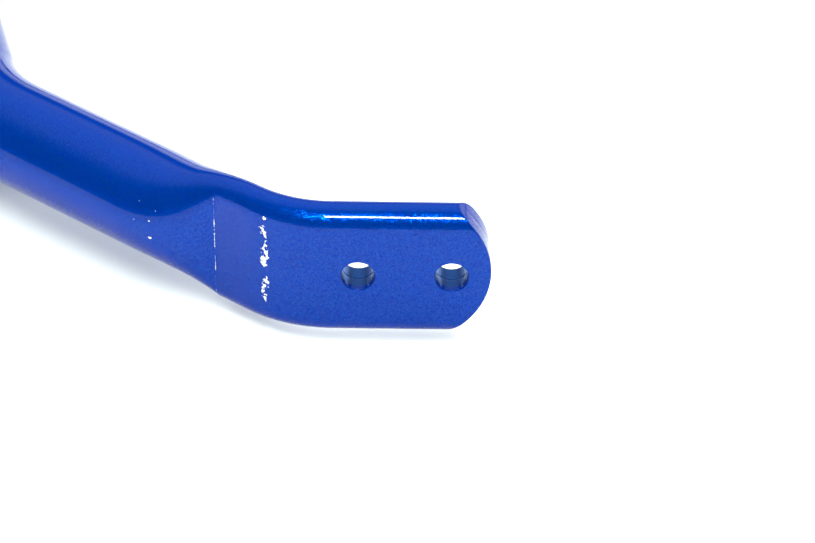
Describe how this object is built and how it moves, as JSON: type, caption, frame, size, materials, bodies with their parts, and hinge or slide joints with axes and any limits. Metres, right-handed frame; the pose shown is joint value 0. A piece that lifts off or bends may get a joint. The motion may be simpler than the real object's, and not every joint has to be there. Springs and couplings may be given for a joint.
{
  "type": "sway bar",
  "caption": "Tubular anti-roll bar with pressed flat ends drilled for end links, split bushes, strap brackets, hardware and locating collars.",
  "frame": {"origin": "middle of the bar, on the plane that the undersides of the two bracket arches touch", "axes": "+X is the way both arms point, Y is the torsion axis with the left end at +Y, +Z points from the bracket arches to their flanges"},
  "size_m": [0.2488, 1.0116, 0.0718],
  "materials": {
    "blue_paint": "metallic flake enamel under clear coat",
    "urethane": "moulded, satin",
    "zinc_strap": "pressed steel, bright zinc plate",
    "zinc_fastener": "bright zinc plate",
    "black_collar": "machined steel, black oxide",
    "black_screw": "alloy steel, black oxide, oiled",
    "nipple_steel": "yellow passivated zinc"
  },
  "bodies": {
    "right_half": {"right_bar_half": "blue_paint", "right_front_collar_half": "black_collar", "right_rear_collar_half": "black_collar", "right_front_collar_screw": "black_screw", "right_rear_collar_screw": "black_screw"},
    "right_mount": {"right_bush": "urethane", "right_bracket": "zinc_strap", "right_front_bolt": "zinc_fastener", "right_rear_bolt": "zinc_fastener", "right_front_spring_washer": "zinc_fastener", "right_rear_spring_washer": "zinc_fastener", "right_front_flat_washer": "zinc_fastener", "right_rear_flat_washer": "zinc_fastener", "right_grease_nipple": "nipple_steel"},
    "left_half": {"left_bar_half": "blue_paint", "left_front_collar_half": "black_collar", "left_rear_collar_half": "black_collar", "left_front_collar_screw": "black_screw", "left_rear_collar_screw": "black_screw"},
    "left_mount": {"left_bush": "urethane", "left_bracket": "zinc_strap", "left_front_bolt": "zinc_fastener", "left_rear_bolt": "zinc_fastener", "left_front_spring_washer": "zinc_fastener", "left_rear_spring_washer": "zinc_fastener", "left_front_flat_washer": "zinc_fastener", "left_rear_flat_washer": "zinc_fastener", "left_grease_nipple": "nipple_steel"}
  },
  "joints": [
    {"name": "bar_twist", "type": "hinge", "parent": "right_half", "child": "left_half", "pos_m": [-0.07043, 0, 0.027], "axis": [0, 1, 0], "range_deg": [-12, 12], "stiffness_Nm_per_rad": 9900},
    {"name": "right_bush_turn", "type": "hinge", "parent": "right_half", "child": "right_mount", "pos_m": [-0.07043, -0.275, 0.027], "axis": [0, 1, 0], "range_deg": [-30, 30]},
    {"name": "left_bush_turn", "type": "hinge", "parent": "left_half", "child": "left_mount", "pos_m": [-0.07043, 0.275, 0.027], "axis": [0, 1, 0], "range_deg": [-30, 30]}
  ]
}
